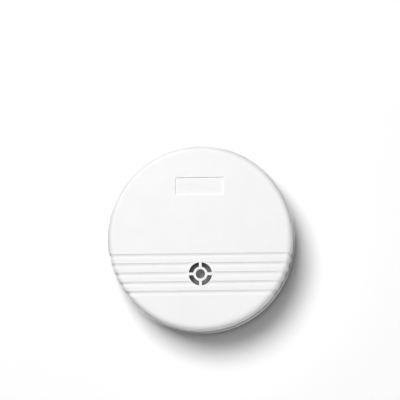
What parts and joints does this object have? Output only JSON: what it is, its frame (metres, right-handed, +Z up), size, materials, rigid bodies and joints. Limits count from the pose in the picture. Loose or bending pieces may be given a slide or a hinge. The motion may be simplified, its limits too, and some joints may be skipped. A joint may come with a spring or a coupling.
{
  "type": "water leak sensor",
  "caption": "Round floor puck with a sounder grille on top, metal water contacts underneath and a sliding battery door in the base.",
  "frame": {"origin": "on the floor below the middle of the housing", "axes": "+Z up out of the grille side, +Y towards the plain half of the top, the way the battery door slides out"},
  "size_m": [0.088, 0.088, 0.03],
  "materials": {
    "white_abs": "finely sparked moulded white plastic",
    "screw_steel": "zinc plated steel",
    "grey_rubber": "matt grey rubber",
    "contact_steel": "turned stainless steel",
    "black_rubber": "matt black rubber",
    "plated_brass": "nickel plated brass",
    "board_laminate": "green solder mask",
    "black_plastic": "black moulded plastic",
    "nickel_plate": "rolled nickel alloy",
    "piezo_ceramic": "silvered ceramic",
    "black_foam": "closed cell foam",
    "red_insulation": "extruded insulation",
    "blue_insulation": "extruded insulation",
    "black_insulation": "extruded insulation",
    "tinned_metal": "tinned wire",
    "ferrite": "matt ferrite",
    "copper_wire": "enamelled copper",
    "capacitor_sleeve": "shrink sleeve on an aluminium can",
    "resistor_lacquer": "lacquered ceramic rod",
    "capacitor_ceramic": "dipped ceramic",
    "diode_glass": "glass sleeve",
    "solder": "bright solder",
    "battery_jacket": "printed steel jacket",
    "cell_metal": "plain metal cell",
    "black_vinyl": "soft vinyl"
  },
  "bodies": {
    "housing": {"top_cover": "white_abs", "base_shell": "white_abs", "housing_screws": "screw_steel", "rubber_feet": "grey_rubber", "probe_screws": "contact_steel", "probe_seals": "black_rubber", "probe_posts": "plated_brass", "board_screws": "screw_steel", "circuit_board": "board_laminate", "sounder_chamber": "black_plastic", "piezo_plate": "nickel_plate", "piezo_ceramic": "piezo_ceramic", "sounder_ring": "black_plastic", "sounder_seal": "black_foam", "sounder_lead_red": "red_insulation", "sounder_lead_blue": "blue_insulation", "sounder_lead_black": "black_insulation", "alarm_chip": "black_plastic", "chip_legs": "tinned_metal", "coil_core": "ferrite", "coil_winding": "copper_wire", "smoothing_capacitor": "capacitor_sleeve", "resistors": "resistor_lacquer", "resistor_leads": "tinned_metal", "ceramic_capacitors": "capacitor_ceramic", "driver_transistor": "black_plastic", "signal_diode": "diode_glass", "component_leads": "tinned_metal", "solder_joints": "solder", "battery_case": "battery_jacket", "battery_cells": "cell_metal", "battery_top_plate": "black_plastic", "battery_positive_terminal": "plated_brass", "battery_negative_terminal": "plated_brass", "battery_pad": "black_foam", "snap_cap": "black_vinyl", "snap_socket": "plated_brass", "snap_stud": "plated_brass", "battery_lead_red": "red_insulation", "battery_lead_black": "black_insulation"},
    "door": {"battery_door": "white_abs"},
    "latch": {"door_latch": "white_abs"}
  },
  "joints": [
    {"name": "door_slide", "type": "slide", "parent": "housing", "child": "door", "axis": [0, 1, 0], "range_m": [0, 0.028]},
    {"name": "latch_flex", "type": "hinge", "parent": "door", "child": "latch", "pos_m": [0, 0.0195, 0.0025], "axis": [-1, 0, 0], "range_deg": [0, 6], "stiffness_Nm_per_rad": 0.02}
  ]
}
